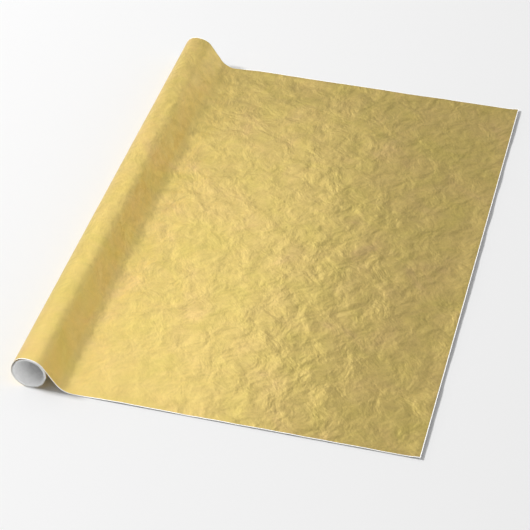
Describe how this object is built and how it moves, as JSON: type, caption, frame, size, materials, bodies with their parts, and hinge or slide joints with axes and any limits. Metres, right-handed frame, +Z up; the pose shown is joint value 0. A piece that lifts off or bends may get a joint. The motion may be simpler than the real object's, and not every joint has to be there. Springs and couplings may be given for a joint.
{
  "type": "wrapping paper roll",
  "caption": "Roll of gold foil gift wrap on a paperboard core, with its free end pulled out flat over the table; the sheet pulls out and the roll spins with it.",
  "frame": {"origin": "on the table surface, under the middle of the roll and its pulled-out sheet", "axes": "+Y along the roll's axis, +X from the roll to the sheet's free edge, +Z up from the table"},
  "size_m": [0.5124, 0.762, 0.0448],
  "materials": {
    "gold_foil": "satin",
    "white_paper": "matte",
    "core_board": "matte",
    "clear_tape": "gloss"
  },
  "bodies": {
    "web_at_roll": {"outer_turn_paper": "white_paper", "outer_turn_foil": "gold_foil", "ramp_paper": "white_paper", "ramp_foil": "gold_foil", "flat_span_paper": "white_paper", "flat_span_foil": "gold_foil"},
    "wound_roll": {"core_tube": "core_board", "core_tape": "clear_tape", "wound_turns_paper": "white_paper", "wound_turns_foil": "gold_foil"},
    "free_end": {"lead_strip_paper": "white_paper", "lead_strip_foil": "gold_foil"},
    "edge_1": {"edge_strip_1_paper": "white_paper", "edge_strip_1_foil": "gold_foil"},
    "edge_2": {"edge_strip_2_paper": "white_paper", "edge_strip_2_foil": "gold_foil"},
    "edge_3": {"edge_strip_3_paper": "white_paper", "edge_strip_3_foil": "gold_foil"},
    "edge_4": {"edge_strip_4_paper": "white_paper", "edge_strip_4_foil": "gold_foil"},
    "edge_5": {"edge_strip_5_paper": "white_paper", "edge_strip_5_foil": "gold_foil"}
  },
  "joints": [
    {"name": "sheet_pull", "type": "slide", "parent": "web_at_roll", "child": "free_end", "axis": [1, 0, 0], "range_m": [-0.25, 1.2], "deforming": ["flat_span_paper", "flat_span_foil"]},
    {"name": "roll_spin", "type": "hinge", "parent": "web_at_roll", "child": "wound_roll", "pos_m": [-0.2336, 0, 0.0222], "axis": [0, 1, 0], "range_deg": [-661, 3165]},
    {"name": "edge_lift_1", "type": "hinge", "parent": "free_end", "child": "edge_1", "pos_m": [0.10605, 0, 0.0001], "axis": [0, -1, 0], "range_deg": [0, 36]},
    {"name": "edge_lift_2", "type": "hinge", "parent": "edge_1", "child": "edge_2", "pos_m": [0.13605, 0, 0.0001], "axis": [0, -1, 0], "range_deg": [0, 36]},
    {"name": "edge_lift_3", "type": "hinge", "parent": "edge_2", "child": "edge_3", "pos_m": [0.16605, 0, 0.0001], "axis": [0, -1, 0], "range_deg": [0, 36]},
    {"name": "edge_lift_4", "type": "hinge", "parent": "edge_3", "child": "edge_4", "pos_m": [0.19605, 0, 0.0001], "axis": [0, -1, 0], "range_deg": [0, 36]},
    {"name": "edge_lift_5", "type": "hinge", "parent": "edge_4", "child": "edge_5", "pos_m": [0.22605, 0, 0.0001], "axis": [0, -1, 0], "range_deg": [0, 36]}
  ],
  "couplings": [
    {"joint": "roll_spin", "follows": "sheet_pull", "rad_per_m": 46},
    {"joint": "edge_lift_2", "follows": "edge_lift_1", "ratio": 1},
    {"joint": "edge_lift_3", "follows": "edge_lift_1", "ratio": 1},
    {"joint": "edge_lift_4", "follows": "edge_lift_1", "ratio": 1},
    {"joint": "edge_lift_5", "follows": "edge_lift_1", "ratio": 1}
  ]
}
